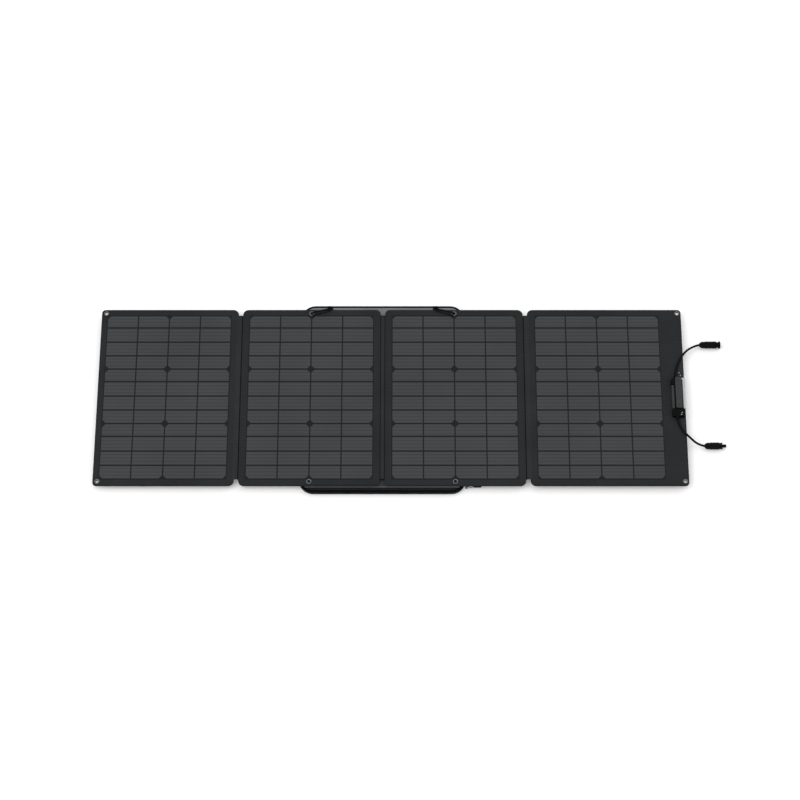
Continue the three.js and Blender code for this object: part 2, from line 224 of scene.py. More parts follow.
HEM = 4.2 * MM  # from a panel's edge to its stitches
ZIP_PITCH = 2.6 * MM
WAVE_PHASE = 20  # radians that the wave texture turns in one unit of its scale

PANEL_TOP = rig.box("panel_1_front_border")[1].z
PANEL_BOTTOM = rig.box("panel_1_back_cover")[0].z
PANEL_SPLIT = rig.box("panel_1_board")[1].z - 0.6 * MM  # where the front cloth meets the back cloth

SMALLEST_CORNER = 0.2 * MM
WELD_DISTANCE = 1e-6
SHORTEST_EDGE = 1e-7


# ---------------------------------------------------------------- mesh helpers
def in_metres(points):
    """Points written in millimetres, given in metres."""
    return [tuple(value * MM for value in point) for point in points]


def new_mesh(name, vertices, faces):
    mesh = bpy.data.meshes.new(name)
    mesh.from_pydata([tuple(v) for v in vertices], [], faces)
    mesh.update()
    piece = bpy.data.objects.new(name, mesh)
    bpy.context.scene.collection.objects.link(piece)
    return piece


def smooth(piece, degrees=35):
    for polygon in piece.data.polygons:
        polygon.use_smooth = True
    piece.data.set_sharp_from_angle(angle=math.radians(degrees))
    return piece


def edit(piece, *changes):
    """Opens a piece's mesh and makes each change on it in turn."""
    work = bmesh.new()
    work.from_mesh(piece.data)
    for change in changes:
        change(work)
    work.to_mesh(piece.data)
    work.free()
    return piece


def weld(work):
    bmesh.ops.remove_doubles(work, verts=work.verts, dist=WELD_DISTANCE)


def drop_slivers(work):
    bmesh.ops.dissolve_degenerate(work, edges=work.edges, dist=SHORTEST_EDGE)


def merge_flat_faces(work):
    bmesh.ops.dissolve_limit(work, angle_limit=math.radians(2), verts=work.verts, edges=work.edges)


def turn_outward(work):
    bmesh.ops.recalc_face_normals(work, faces=work.faces)


def tidy_normals(piece):
    return edit(piece, turn_outward)


def apply_modifiers(piece):
    graph = bpy.context.evaluated_depsgraph_get()
    mesh = bpy.data.meshes.new_from_object(piece.evaluated_get(graph))
    name = piece.name
    piece.modifiers.clear()
    if piece.type == "MESH":
        piece.data = mesh
        return piece
    bpy.data.objects.remove(piece)
    made = bpy.data.objects.new(name, mesh)
    bpy.context.scene.collection.objects.link(made)
    return made


def join(name, pieces):
    work = bmesh.new()
    for piece in pieces:
        work.from_mesh(piece.data)
        bpy.data.objects.remove(piece)
    mesh = bpy.data.meshes.new(name)
    work.to_mesh(mesh)
    work.free()
    made = bpy.data.objects.new(name, mesh)
    bpy.context.scene.collection.objects.link(made)
    return made


def outline(x0, x1, y0, y1, radii, steps=10):
    """A rectangle counterclockwise from its near left corner, each corner rounded by its own radius."""
    centres = (
        (x0 + radii[0], y0 + radii[0], radii[0], math.pi),
        (x1 - radii[1], y0 + radii[1], radii[1], 1.5 * math.pi),
        (x1 - radii[2], y1 - radii[2], radii[2], 0),
        (x0 + radii[3], y1 - radii[3], radii[3], 0.5 * math.pi),
    )
    points = []
    for cx, cy, radius, start in centres:
        for step in range(steps + 1):
            angle = start + 0.5 * math.pi * step / steps
            points.append((cx + radius * math.cos(angle), cy + radius * math.sin(angle)))
    return points


def in_order(points):
    """Points of a convex shape, sorted counterclockwise round their middle."""
    x = sum(p[0] for p in points) / len(points)
    y = sum(p[1] for p in points) / len(points)
    return sorted(points, key=lambda p: math.atan2(p[1] - y, p[0] - x))


def places_along(loop, height, pitch):
    """Places one pitch apart along a closed loop of points, each with the loop's direction there."""
    distance = 0
    following = pitch
    for first, second in zip(loop, loop[1:] + loop[:1]):
        start, end = Vector((*first, height)), Vector((*second, height))
        span = (end - start).length
        if span < SHORTEST_EDGE:
            continue
        along = (end - start) / span
        while following <= distance + span:
            yield start + along * (following - distance), along
            following += pitch
        distance += span


def circle(x, y, radius, sides=32):
    turn = 2 * math.pi / sides
    return [(x + radius * math.cos(i * turn), y + radius * math.sin(i * turn)) for i in range(sides)]


def plate(name, loops, bottom, top, edge):
    """A flat plate with holes, its edges rounded; the first loop is the outline."""
    curve = bpy.data.curves.new(name, "CURVE")
    curve.dimensions = "2D"
    curve.fill_mode = "BOTH"
    curve.extrude = (top - bottom) / 2 - edge
    curve.bevel_depth = edge
    curve.bevel_resolution = 3
    curve.offset = -edge
    for loop in loops:
        spline = curve.splines.new("POLY")
        spline.points.add(len(loop) - 1)
        for point, (x, y) in zip(spline.points, loop):
            point.co = (x, y, 0, 1)
        spline.use_cyclic_u = True
    piece = bpy.data.objects.new(name, curve)
    bpy.context.scene.collection.objects.link(piece)
    bpy.context.view_layer.update()
    made = apply_modifiers(piece)
    made.data.transform(Matrix.Translation((0, 0, (top + bottom) / 2)))
    made.name = name
    return smooth(edit(made, weld))


def loft(name, rect, radius, profile, closed, steps=12):
    """Rings round a rounded rectangle at each (inset, height); closed joins the last ring to the first."""
    x0, x1, y0, y1 = rect
    rings = []
    for inset, height in profile:
        corner = max(radius - inset, SMALLEST_CORNER)
        ring = outline(x0 + inset, x1 - inset, y0 + inset, y1 - inset, [corner] * 4, steps)
        rings.append([(x, y, height) for x, y in ring])
    count = len(rings[0])
    vertices = [vertex for ring in rings for vertex in ring]
    faces = []
    pairs = list(zip(range(len(rings) - 1), range(1, len(rings))))
    if closed:
        pairs.append((len(rings) - 1, 0))
    for low, high in pairs:
        for i in range(count):
            after = (i + 1) % count
            faces.append((low * count + i, low * count + after, high * count + after, high * count + i))
    if not closed:
        faces.append(tuple(reversed(range(count))))
        faces.append(tuple((len(rings) - 1) * count + i for i in range(count)))
    return smooth(tidy_normals(new_mesh(name, vertices, faces)), 50)


def turned(name, profile, origin, direction, sides=40, flutes=None):
    """A body turned round an axis from closed (along, radius) points; flutes are (from, to, count, depth)."""
    axis = Vector(direction).normalized()
    side = axis.orthogonal().normalized()
    other = axis.cross(side)
    vertices = []
    for along, radius in profile:
        for i in range(sides):
            angle = 2 * math.pi * i / sides
            r = radius
            if flutes and flutes[0] <= along <= flutes[1]:
                r -= flutes[3] * (0.5 + 0.5 * math.cos(flutes[2] * angle))
            spoke = side * math.cos(angle) + other * math.sin(angle)
            vertices.append(Vector(origin) + axis * along + spoke * r)
    count = len(profile)
    faces = []
    for k in range(count):
        after = (k + 1) % count
        for i in range(sides):
            j = (i + 1) % sides
            faces.append((k * sides + i, k * sides + j, after * sides + j, after * sides + i))
    piece = edit(new_mesh(name, vertices, faces), weld, drop_slivers, turn_outward)
    return smooth(piece, 40)


def rod(name, points, radius, closed=False, sides=6):
    """A round rod along a smooth line through the points."""
    curve = bpy.data.curves.new(name, "CURVE")
    curve.dimensions = "3D"
    curve.bevel_depth = radius
    curve.bevel_resolution = sides
    curve.use_fill_caps = not closed
    spline = curve.splines.new("BEZIER")
    spline.bezier_points.add(len(points) - 1)
    spline.resolution_u = 10
    for point, place in zip(spline.bezier_points, points):
        point.co = place
        point.handle_left_type = "AUTO"
        point.handle_right_type = "AUTO"
    spline.use_cyclic_u = closed
    piece = bpy.data.objects.new(name, curve)
    bpy.context.scene.collection.objects.link(piece)
    return piece


def solid_rod(name, points, radius, closed=False):
    bpy.context.view_layer.update()
    made = apply_modifiers(rod(name + "_line", points, radius, closed))
    made.name = name
    return smooth(made, 60)


def refined(node, bevel):
    """A copy of a CAD node with its edges rounded."""
    source = frame["nodes"][node]
    piece = bpy.data.objects.new(node + "_finished", source.data.copy())
    piece.data.materials.clear()
    bpy.context.scene.collection.objects.link(piece)
    edit(piece, weld, merge_flat_faces)
    modifier = piece.modifiers.new("edges", "BEVEL")
    modifier.width = bevel
    modifier.segments = 3
    modifier.limit_method = "ANGLE"
    modifier.angle_limit = math.radians(30)
    modifier.use_clamp_overlap = True
    bpy.context.view_layer.update()
    return smooth(apply_modifiers(piece), 40)


def finish_piece(piece, material, body, slot, nodes=()):
    """Gives a piece its material and body, and says which CAD nodes it stands for."""
    piece.data.materials.clear()
    piece.data.materials.append(material)
    if body:
        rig.ride(piece, body)
    if nodes:
        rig.replaces(piece, *nodes)
    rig.slot(piece, slot)
    return piece


# ---------------------------------------------------------------- materials
def new_material(name, color, roughness, metallic=0.0, **sockets):
    material = bpy.data.materials.new(name)
    material.use_nodes = True
    shader = material.node_tree.nodes["Principled BSDF"]
    shader.inputs["Base Color"].default_value = (*color, 1)
    shader.inputs["Roughness"].default_value = roughness
    shader.inputs["Metallic"].default_value = metallic
    for socket, value in sockets.items():
        shader.inputs[socket.replace("_", " ")].default_value = value
    return material, material.node_tree, shader


def coordinates(tree, scale=(1, 1, 1)):
    source = tree.nodes.new("ShaderNodeTexCoord")
    mapping = tree.nodes.new("ShaderNodeMapping")
    mapping.inputs["Scale"].default_value = scale
    tree.links.new(source.outputs["Object"], mapping.inputs["Vector"])
    return mapping.outputs["Vector"]


def noise(tree, vector, scale, detail=3.0):
    node = tree.nodes.new("ShaderNodeTexNoise")
    node.inputs["Scale"].default_value = scale
    node.inputs["Detail"].default_value = detail
    tree.links.new(vector, node.inputs["Vector"])
    return node.outputs["Fac"]


def bands(tree, vector, direction, pitch, distortion=0.0):
    """Bands across an axis, one every pitch metres."""
    node = tree.nodes.new("ShaderNodeTexWave")
    node.bands_direction = direction
    node.inputs["Scale"].default_value = 1 / pitch / WAVE_PHASE * 2 * math.pi
    node.inputs["Distortion"].default_value = distortion
    node.inputs["Detail"].default_value = 1
    tree.links.new(vector, node.inputs["Vector"])
    return node.outputs["Fac"]


def shade(tree, factor, dark, light, low=0.3, high=0.7):
    ramp = tree.nodes.new("ShaderNodeValToRGB")
    ramp.color_ramp.elements[0].position = low
    ramp.color_ramp.elements[0].color = (*dark, 1)
    ramp.color_ramp.elements[1].position = high
    ramp.color_ramp.elements[1].color = (*light, 1)
    tree.links.new(factor, ramp.inputs["Fac"])
    return ramp.outputs["Color"]


def multiply(tree, first, second, amount=1.0):
    node = tree.nodes.new("ShaderNodeMix")
    node.data_type = "RGBA"
    node.blend_type = "MULTIPLY"
    node.inputs["Factor"].default_value = amount
    tree.links.new(first, node.inputs["A"])
    tree.links.new(second, node.inputs["B"])
    return node.outputs["Result"]


def scaled(tree, value, factor):
    node = tree.nodes.new("ShaderNodeMath")
    node.operation = "MULTIPLY"
    node.inputs[1].default_value = factor
    tree.links.new(value, node.inputs[0])
    return node.outputs["Value"]


def total(tree, first, second):
    node = tree.nodes.new("ShaderNodeMath")
    node.operation = "ADD"
    tree.links.new(first, node.inputs[0])
    tree.links.new(second, node.inputs[1])
    return node.outputs["Value"]


def roughness_from(tree, shader, factor, low, high):
    node = tree.nodes.new("ShaderNodeMapRange")
    node.inputs["To Min"].default_value = low
    node.inputs["To Max"].default_value = high
    tree.links.new(factor, node.inputs["Value"])
    tree.links.new(node.outputs["Result"], shader.inputs["Roughness"])


def bump(tree, shader, height, distance, strength=1.0):
    node = tree.nodes.new("ShaderNodeBump")
    node.inputs["Strength"].default_value = strength
    node.inputs["Distance"].default_value = distance
    tree.links.new(height, node.inputs["Height"])
    tree.links.new(node.outputs["Normal"], shader.inputs["Normal"])


def lightened(color, factor):
    return tuple(min(1.0, c * factor) for c in color)


def woven(name, color, pitch, rib="Y", relief=0.12, gloss=0.1, sheen=0.03, rough=0.86, spread=0.14):
    """Cloth with ribs across one axis and finer threads across the other; pitch and relief are in mm."""
    material, tree, shader = new_material(
        name, color, rough, Sheen_Weight=sheen, Sheen_Roughness=0.5, Specular_IOR_Level=gloss,
    )
    place = coordinates(tree)
    ribs = bands(tree, place, rib, pitch * MM)
    threads = bands(tree, place, "X" if rib == "Y" else "Y", pitch * 0.8 * MM)
    fibres = noise(tree, place, 900, 4)
    tone = noise(tree, place, 9, 3)
    base = shade(tree, tone, lightened(color, 1 - spread), lightened(color, 1 + spread))
    ribbed = shade(tree, ribs, (0.78, 0.78, 0.78), (1.0, 1.0, 1.0), 0.0, 1.0)
    courses = bands(tree, place, rib, pitch * 4.5 * MM, 1.5)
    base = multiply(tree, base, shade(tree, courses, (0.8, 0.8, 0.8), (1.0, 1.0, 1.0), 0.1, 0.9))
    tree.links.new(multiply(tree, base, ribbed), shader.inputs["Base Color"])
    height = total(tree, ribs, scaled(tree, threads, 0.5))
    height = total(tree, height, scaled(tree, fibres, 0.8))
    bump(tree, shader, height, relief * MM)
    roughness_from(tree, shader, fibres, rough - 0.08, rough + 0.06)
    return material


def moulded(name, color, rough, grain=1400, relief=0.03, gloss=0.12):
    """Moulded plastic or rubber: a fine grain and slightly polished patches."""
    material, tree, shader = new_material(name, color, rough, Specular_IOR_Level=gloss)
    place = coordinates(tree)
    fine = noise(tree, place, grain, 3)
    wear = noise(tree, place, 35, 4)
    base = shade(tree, wear, lightened(color, 0.88), lightened(color, 1.14))
    tree.links.new(base, shader.inputs["Base Color"])
    roughness_from(tree, shader, wear, rough - 0.08, rough + 0.1)
    bump(tree, shader, fine, relief * MM)
    return material


def metal(name, color, rough):
    material, tree, shader = new_material(name, color, rough, 1.0)
    place = coordinates(tree, (1, 1, 6))
    scratches = noise(tree, place, 700, 5)
    tint = noise(tree, place, 60, 2)
    base = shade(tree, tint, lightened(color, 0.85), lightened(color, 1.1))
    tree.links.new(base, shader.inputs["Base Color"])
    roughness_from(tree, shader, scratches, rough - 0.1, rough + 0.14)
    bump(tree, shader, scratches, 0.01 * MM)
    return material


def cell_material():
    """Grey cells under a satin film: fine printed fingers across each cell and a dimpled film."""
    color = (0.0472, 0.0496, 0.0512)
    material, tree, shader = new_material("cell", color, 0.5, Specular_IOR_Level=0.18)
    place = coordinates(tree)
    fingers = bands(tree, place, "Y", 10.1 * MM)
    grain = noise(tree, coordinates(tree, (1, 3, 1)), 260, 4)
    tone = noise(tree, place, 5, 2)
    base = shade(tree, tone, lightened(color, 0.93), lightened(color, 1.07))
    lined = shade(tree, fingers, (0.8, 0.8, 0.8), (1.0, 1.0, 1.0), 0.1, 0.6)
    fine = bands(tree, place, "Y", 1.9 * MM)
    lined = multiply(tree, lined, shade(tree, fine, (0.93, 0.93, 0.93), (1.0, 1.0, 1.0), 0.1, 0.6))
    speckled = shade(tree, grain, (0.9, 0.9, 0.9), (1.0, 1.0, 1.0), 0.3, 0.7)
    tree.links.new(multiply(tree, multiply(tree, base, lined), speckled), shader.inputs["Base Color"])
    film = noise(tree, place, 1500, 2)
    bump(tree, shader, film, 0.02 * MM)
    roughness_from(tree, shader, grain, 0.44, 0.58)
    return material


def grid_material():
    """The dark backing sheet that shows between the cells."""
    color = (0.0062, 0.0064, 0.007)
    material, tree, shader = new_material("cell_grid", color, 0.5, Specular_IOR_Level=0.16)
    place = coordinates(tree)
    film = noise(tree, place, 1500, 2)
    tone = noise(tree, place, 20, 3)
    base = shade(tree, tone, lightened(color, 0.9), lightened(color, 1.1))
    tree.links.new(base, shader.inputs["Base Color"])
    bump(tree, shader, film, 0.02 * MM)
    return material


MATERIALS = {
    "front": woven("front_fabric", (0.0235, 0.0252, 0.0268), 1.6),
    "strip": woven("fold_fabric", (0.027, 0.029, 0.0308), 1.6),
    "back": woven("back_fabric", (0.02, 0.021, 0.022), 1.1, "X", 0.16),
    "case": woven("case_fabric", (0.0055, 0.0058, 0.0058), 1.2, "X", 0.18, 0.02, 0.008),
    # painted shade: the next two cloths are darker strips for the shade along the case lining's near edge
    "edge_shade": woven("case_edge_shade", (0.0125, 0.013, 0.013), 1.2, "Y", 0.14, 0.06),
    "lining_shade": woven("case_lining_shade", (0.044, 0.046, 0.047), 1.2, "Y", 0.14, 0.08),
    "flap": woven("flap_fabric", (0.034, 0.036, 0.037), 0.9, "X", 0.2, 0.1),
    "lining": woven("case_lining", (0.21, 0.216, 0.22), 0.9, "X", 0.1, 0.1, 0.1),
    "webbing": woven("webbing", (0.0032, 0.0032, 0.0035), 1.3, "X", 0.25, 0.03, 0.012),
    "thread": moulded("thread", (0.013, 0.014, 0.015), 0.7, 3000, 0.05, 0.08),
    "black": moulded("black_plastic", (0.003, 0.003, 0.0034), 0.4, 1400, 0.03, 0.06),
    "hook": moulded("hook_plastic", (0.003, 0.003, 0.0034), 0.38, 900, 0.02, 0.06),
    "grey": moulded("grey_plastic", (0.027, 0.028, 0.03), 0.48, 1400, 0.03, 0.3),
    "light": moulded("light_rubber", (0.48, 0.49, 0.5), 0.55, 800, 0.04, 0.3),
    "cable": moulded("cable_sheath", (0.003, 0.003, 0.0034), 0.36, 600, 0.015, 0.07),
    "eyelet": metal("eyelet_metal", (0.16, 0.165, 0.17), 0.34),
    "steel": metal("steel", (0.42, 0.43, 0.44), 0.3),
    "dark_steel": metal("dark_steel", (0.14, 0.145, 0.15), 0.4),
    "black_steel": metal("black_steel", (0.05, 0.052, 0.055), 0.36),
    "cell": cell_material(),
    "grid": grid_material(),
}


# ---------------------------------------------------------------- camera, light and floor
CAMERA_DISTANCE = 7.856
CAMERA_ELEVATION = math.radians(60.02)
CAMERA_TARGET = Vector((39.6 * MM, 0, 21.6 * MM))
FOCAL_LENGTH = 137.21  # for a sensor 36 mm wide


def make_camera():
    data = bpy.data.cameras.new("camera")
    data.lens = FOCAL_LENGTH
    data.sensor_width = 36
    data.clip_end = 60
    data.shift_x = -0.00857
    data.shift_y = -0.00474
    camera = bpy.data.objects.new("camera", data)
    back = Vector((0, -math.cos(CAMERA_ELEVATION), math.sin(CAMERA_ELEVATION)))
    camera.location = CAMERA_TARGET + back * CAMERA_DISTANCE
    camera.rotation_mode = "QUATERNION"
    camera.rotation_quaternion = (-back).to_track_quat("-Z", "Y")
    bpy.context.scene.collection.objects.link(camera)
    bpy.context.scene.camera = camera


def area_light(name, place, size, power):
    data = bpy.data.lights.new(name, "AREA")
    data.shape = "SQUARE"
    data.size = size
    data.energy = power
    light = bpy.data.objects.new(name, data)
    light.location = place
    light.rotation_mode = "QUATERNION"
    light.rotation_quaternion = (-Vector(place)).to_track_quat("-Z", "Y")
    bpy.context.scene.collection.objects.link(light)


def make_studio():
    world = bpy.data.worlds.new("studio")
    world.use_nodes = True
    world.node_tree.nodes["Background"].inputs["Color"].default_value = (1, 1, 1, 1)
    world.node_tree.nodes["Background"].inputs["Strength"].default_value = 0.85
    bpy.context.scene.world = world
    area_light("key", (-1.6, -1.2, 3.4), 2.6, 45)
    area_light("fill", (2.4, 1.6, 3.0), 3.0, 18)
    corners = [(x, y, -0.4 * MM) for x, y in ((-9, -9), (9, -9), (9, 9), (-9, 9))]
    floor = new_mesh("floor", corners, [(0, 1, 2, 3)])
    material, _, shader = new_material("floor", (0.95, 0.95, 0.95), 0.9)
    shader.inputs["Emission Color"].default_value = (1, 1, 1, 1)
    shader.inputs["Emission Strength"].default_value = 0.12
    floor.data.materials.append(material)
    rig.stage(floor)
    bpy.context.scene.view_settings.view_transform = "Standard"


# ---------------------------------------------------------------- cords
UPPER_ROUTE = (
    (733.5, 53, 26.8), (733.8, 63, 26.7), (735, 73, 26.1), (738, 84, 25.4), (742.6, 97, 25),
    (748.5, 109.5, 24.9), (756, 122, 24.9), (765.5, 134.5, 22.6), (775, 144.5, 18.4),
    (785.5, 153, 13.4), (796, 159, 10.2), (803, 161, 9.4), (807, 161, 9.4),
)
LOWER_ROUTE = (
    (734.5, -65.6, 26.8), (734.9, -73, 26.7), (736.3, -80, 25.9), (739, -88, 25.2), (744, -99, 24.9),
    (750.5, -109.5, 24.9), (759.5, -119.4, 24.8), (769, -126.6, 20), (778.5, -132, 13.6),
    (790, -137, 10.4), (800, -139.6, 9.4), (806.5, -140, 9.4),
)
UPPER_LENGTH = 0.142
LOWER_LENGTH = 0.116
CONNECTOR_NECK = [  # (along, radius) in mm, the stretch that both connectors share
    (7.75, 0), (7.75, 7.9), (8.4, 8.2), (8.8, 8.8), (9.6, 9.2), (13, 9.2), (13.8, 9.0), (14, 9.0),
]


def knurled_nut(name, x, y):
    profile = [(0, 3.2), (0, 5.0), (0.4, 5.4), (5, 8.1), (5.6, 8.4), (12.6, 8.4), (13, 8.0), (13, 3.2)]
    flutes = (5 * MM, 12.7 * MM, 16, 0.5 * MM)
    return turned(name, in_metres(profile), (x, y, CONNECTOR_Z), (1, 0, 0), 96, flutes)


def make_socket(x, y):
    """The connector with a flange and a hollow end, and the pin inside it."""
    profile = CONNECTOR_NECK + [
        (30, 9.0), (30.2, 9.0), (31, 9.2), (37.4, 9.2), (38.2, 8.8), (39.6, 6.9), (43, 6.9),
        (43.4, 8.9), (43.8, 9.2), (48.2, 9.2), (48.6, 8.9), (48.6, 5.5), (48.2, 5.2), (30, 5.2), (30, 0),
    ]
    flutes = (13.9 * MM, 30.1 * MM, 12, 0.7 * MM)
    socket = turned("socket_body", in_metres(profile), (x, y, CONNECTOR_Z), (1, 0, 0), 96, flutes)
    pin_profile = [(30, 0), (30, 2.2), (46, 2.2), (46, 1.3), (37, 1.3), (37, 0)]
    pin = turned("socket_pin", in_metres(pin_profile), (x, y, CONNECTOR_Z), (1, 0, 0), 24)
    finish_piece(socket, MATERIALS["black"], "panel_4", "black_plastic", ["connector_upper_socket"])
    finish_piece(pin, MATERIALS["steel"], "panel_4", "steel")
    return [socket, pin]


def make_plug(x, y):
    """The connector with a nose between two barbed prongs."""
    profile = CONNECTOR_NECK + [
        (25, 9.0), (25.2, 9.0), (26, 9.2), (30.4, 9.2), (31, 8.6), (31, 4.2), (37.8, 4.2), (38.2, 3.7),
        (39.6, 3.7), (40, 4.2), (47.6, 4.2), (49.2, 3.4), (49.2, 0),
    ]
    flutes = (13.9 * MM, 25.1 * MM, 12, 0.7 * MM)
    parts = [turned("plug_body", in_metres(profile), (x, y, CONNECTOR_Z), (1, 0, 0), 96, flutes)]
    prong_width = 2.8 * MM
    for side in (1, -1):
        low = y + side * 6.8 * MM - prong_width / 2
        barb_low = low + side * 0.7 * MM
        prong = (x + 29 * MM, x + 40 * MM, low, low + prong_width)
        barb = (x + 36.5 * MM, x + 40 * MM, barb_low, barb_low + prong_width)
        for name, rect, corner, soft, reach in (
            ("prong", prong, 0.9 * MM, 0.4 * MM, 2.4 * MM), ("barb", barb, 0.6 * MM, 0.3 * MM, 2.2 * MM),
        ):
            rings = [
                (soft, CONNECTOR_Z - reach), (0, CONNECTOR_Z - reach + 0.4 * MM),
                (0, CONNECTOR_Z + reach - 0.4 * MM), (soft, CONNECTOR_Z + reach),
            ]
            parts.append(loft(name, rect, corner, rings, False, 4))
    plug = smooth(join("connector_lower_plug_finished", parts), 40)
    finish_piece(plug, MATERIALS["black"], "panel_4", "black_plastic", ["connector_lower_plug"])
    return [plug]


def make_gland(name, x, z, along):
    """The ribbed strain relief where a cable leaves the junction box, pointing along Y."""
    profile = [
        (0, 2.9), (0, 4.3), (0.3, 4.6), (3.6, 4.6), (4.2, 4.3), (5, 4.1), (5.2, 3.7), (6, 3.7),
        (6.2, 3.95), (7, 3.9), (7.2, 3.5), (8, 3.4), (8, 2.9),
    ]
    low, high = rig.box(name)
    seat = low.y if along > 0 else high.y
    gland = turned(f"{name}_finished", in_metres(profile), (x, seat, z), (0, along, 0), 36)
    finish_piece(gland, MATERIALS["black"], "panel_4", "black_plastic", [name])


def make_cords():
    ends = {name: in_metres(route)[-1] for name, route in (("upper", UPPER_ROUTE), ("lower", LOWER_ROUTE))}
    start = 0.3 * MM  # from the end of the cable to the connector's own zero
    on_cable = {
        "upper": make_socket(ends["upper"][0] + start, ends["upper"][1]),
        "lower": make_plug(ends["lower"][0] + start, ends["lower"][1]),
    }
    for name, (x, y, _) in ends.items():
        nut = knurled_nut(f"connector_{name}_nut_finished", x - 5 * MM, y)
        finish_piece(nut, MATERIALS["black"], "panel_4", "black_plastic", [f"connector_{name}_nut"])
        on_cable[name].insert(0, nut)

    for name, route, length, along in (
        ("upper", UPPER_ROUTE, UPPER_LENGTH, 1), ("lower", LOWER_ROUTE, LOWER_LENGTH, -1),
    ):
        points = in_metres(route)
        cable = rod(f"cable_{name}_flex", points, CABLE_RADIUS)
        finish_piece(cable, MATERIALS["cable"], "panel_4", "cable_sheath", [f"cable_{name}"])
        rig.cord(
            cable, exit=points[0], length=length, diameter=2 * CABLE_RADIUS, far_end="connector",
            stiffness="medium", lay="loose", with_pieces=on_cable[name],
        )
        make_gland(f"cable_gland_{name}", points[0][0], points[0][2], along)


# ---------------------------------------------------------------- panels
def panel_rect(number):
    low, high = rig.box(f"panel_{number}_front_border")
    return low.x, high.x, low.y, high.y


def panel_corners(number):
    return {
        1: (OUTER_CORNER, OUTER_FOLD_CORNER, OUTER_FOLD_CORNER, OUTER_CORNER),
        2: (OUTER_FOLD_CORNER, MIDDLE_FOLD_CORNER, MIDDLE_FOLD_CORNER, OUTER_FOLD_CORNER),
        3: (MIDDLE_FOLD_CORNER, OUTER_FOLD_CORNER, OUTER_FOLD_CORNER, MIDDLE_FOLD_CORNER),
        4: (OUTER_FOLD_CORNER, OUTER_CORNER, OUTER_CORNER, OUTER_FOLD_CORNER),
    }[number]


def grommet_centre(number, side):
    low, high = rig.box(f"grommet_{number}_{side}")
    return (low.x + high.x) / 2, (low.y + high.y) / 2


def laminate_rect(number):
    low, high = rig.box(f"panel_{number}_laminate")
    return low.x, high.x, low.y, high.y


def stitches(name, loops, height, rise=0.25 * MM, pitch=4.6 * MM, length=3.2 * MM, width=0.55 * MM):
    """Rows of single stitches along closed loops of points, standing up by rise or down if it is negative."""
    corners = (
        (-length / 2, 0, 0), (-length / 4, -width / 2, 0), (length / 4, -width / 2, 0),
        (length / 2, 0, 0), (length / 4, width / 2, 0), (-length / 4, width / 2, 0),
        (-length / 4, 0, rise), (length / 4, 0, rise),
    )
    sides = (
        (0, 1, 6), (1, 2, 7, 6), (2, 3, 7), (3, 4, 7), (4, 5, 6, 7), (5, 0, 6), (5, 4, 3, 2, 1, 0),
    )
    vertices, faces = [], []
    for loop in loops:
        for centre, along in places_along(loop, height, pitch):
            across = Vector((-along.y, along.x, 0))
            base = len(vertices)
            vertices += [centre + along * a + across * w + Vector((0, 0, h)) for a, w, h in corners]
            faces += [tuple(base + i for i in side) for side in sides]
    return smooth(tidy_normals(new_mesh(name, vertices, faces)), 80)


def make_panel(number):
    body = f"panel_{number}"
    x0, x1, y0, y1 = panel_rect(number)
    radii = panel_corners(number)
    edge = outline(x0, x1, y0, y1, radii)
    holes = [circle(*grommet_centre(number, side), GROMMET_OPENING) for side in ("far", "near")]
    lx0, lx1, ly0, ly1 = laminate_rect(number)
    window = outline(lx0, lx1, ly0, ly1, [LAMINATE_CORNER] * 4, 4)
    front = plate(f"{body}_front", [edge, window, *holes], PANEL_SPLIT, PANEL_TOP, 0.7 * MM)
    back = plate(f"{body}_back", [edge, *holes], PANEL_BOTTOM, PANEL_SPLIT, 0.7 * MM)
    finish_piece(front, MATERIALS["front"], body, "front_fabric", [f"{body}_front_border"])
    finish_piece(back, MATERIALS["back"], body, "back_fabric", [f"{body}_back_cover", f"{body}_board"])

    hem = outline(x0 + HEM, x1 - HEM, y0 + HEM, y1 - HEM, [r - HEM for r in radii], 6)
    front_seam = stitches(f"{body}_front_stitching", [hem], PANEL_TOP - 0.05 * MM)
    finish_piece(front_seam, MATERIALS["thread"], body, "front_fabric")
    back_seam = stitches(f"{body}_back_stitching", [hem], PANEL_BOTTOM + 0.05 * MM, -0.25 * MM)
    finish_piece(back_seam, MATERIALS["thread"], body, "back_fabric")
    make_cells(number)


